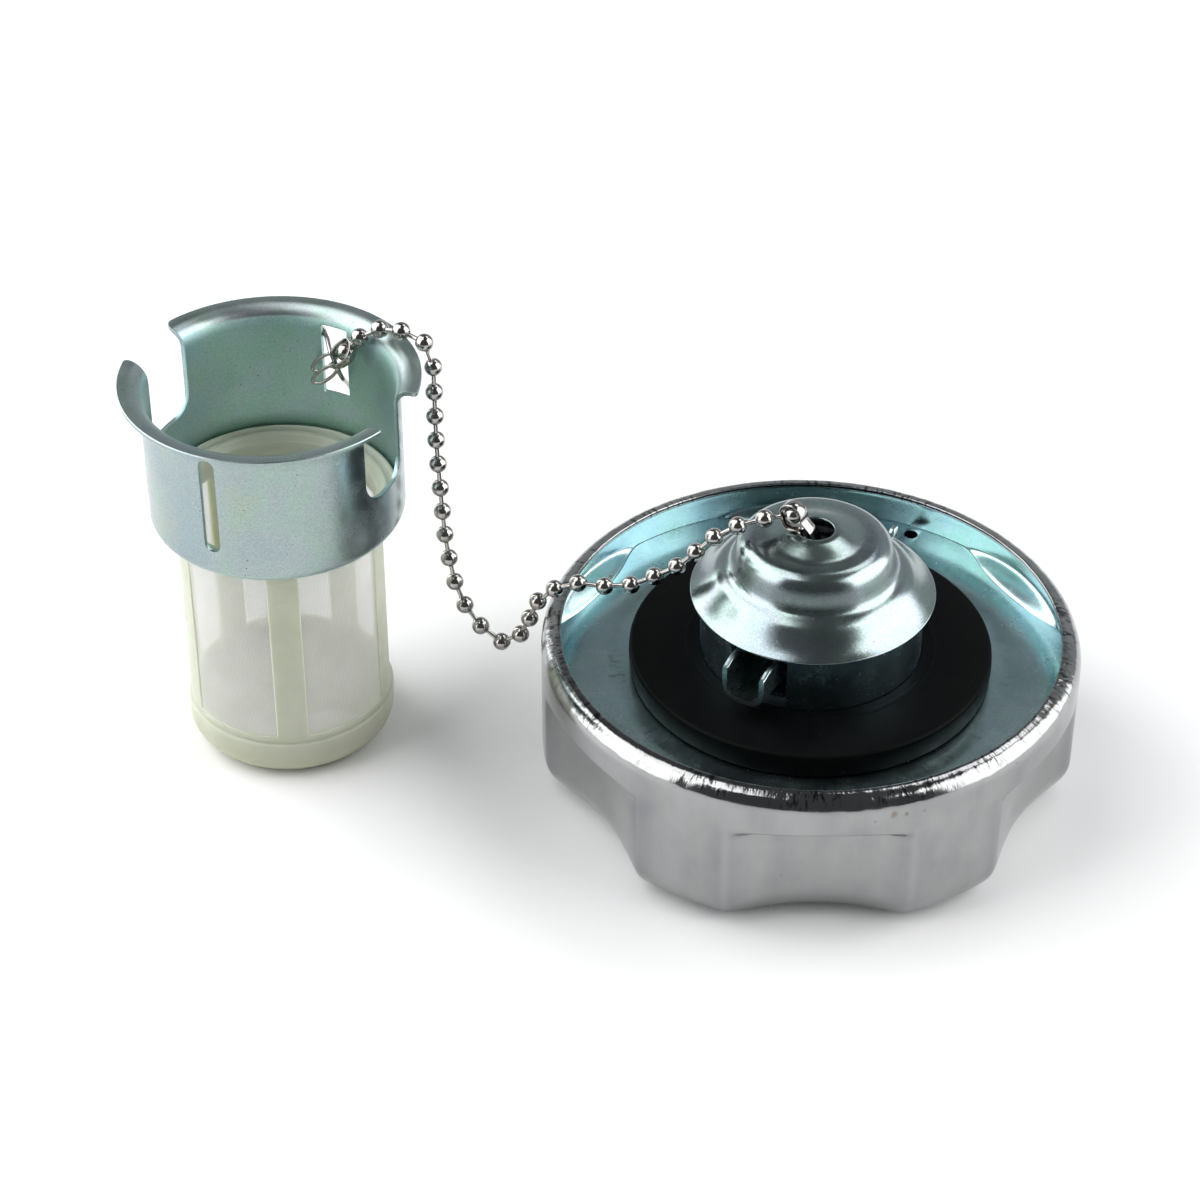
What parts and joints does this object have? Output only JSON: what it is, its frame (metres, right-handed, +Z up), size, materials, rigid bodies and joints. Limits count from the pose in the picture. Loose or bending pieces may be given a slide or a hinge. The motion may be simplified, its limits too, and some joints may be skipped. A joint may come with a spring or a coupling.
{
  "type": "bayonet tank filler cap with strainer",
  "caption": "Round fluted vented filler cap, lying face down, joined by a bead chain to a flanged neck collar that holds a mesh strainer basket.",
  "frame": {"origin": "on the cap's own axis, on the plane its closed face and the strainer's base rest on", "axes": "+Z up along the cap's axis, from its closed face towards its dome; the strainer stands on -X"},
  "size_m": [0.1663, 0.0938, 0.0782],
  "materials": {
    "cover_chrome": "satin chrome plate with light drawing marks",
    "zinc_sheet": "blue passivated zinc plate",
    "bright_zinc": "bright zinc plate",
    "black_rubber": "matt moulded rubber",
    "cream_nylon": "translucent moulded nylon",
    "white_mesh": "fine woven nylon mesh",
    "nickel": "bright nickel plate",
    "foam": "open cell foam",
    "spring_wire": "drawn spring steel"
  },
  "bodies": {
    "strainer": {"neck_collar": "zinc_sheet", "basket_frame": "cream_nylon", "side_screen": "white_mesh", "floor_screen": "white_mesh", "toggle_wire": "nickel", "collar_clasp": "nickel", "end_bead_collar": "nickel", "bead_chain": "nickel", "end_bead_dome": "nickel", "dome_clasp": "nickel", "anchor_pin": "nickel"},
    "cap": {"cover_shell": "cover_chrome", "inner_plate": "zinc_sheet", "breather_pad": "foam", "neck_cup": "zinc_sheet", "cup_rivet_1": "zinc_sheet", "cup_rivet_2": "zinc_sheet", "cup_rivet_3": "zinc_sheet", "cup_rivet_4": "zinc_sheet", "sealing_gasket": "black_rubber", "spring_dome": "bright_zinc"},
    "lock": {"locking_bar": "bright_zinc", "spring_seat": "zinc_sheet", "lock_spring": "spring_wire"}
  },
  "joints": [
    {"name": "cap_swivel", "type": "hinge", "parent": "strainer", "child": "cap", "pos_m": [0, 0, 0], "axis": [0, 0, 1], "continuous": true},
    {"name": "bar_lift", "type": "slide", "parent": "cap", "child": "lock", "axis": [0, 0, 1], "range_m": [0, 0.0013], "stiffness_N_per_m": 1500, "springref_m": -0.002, "deforming": ["lock_spring"]}
  ]
}
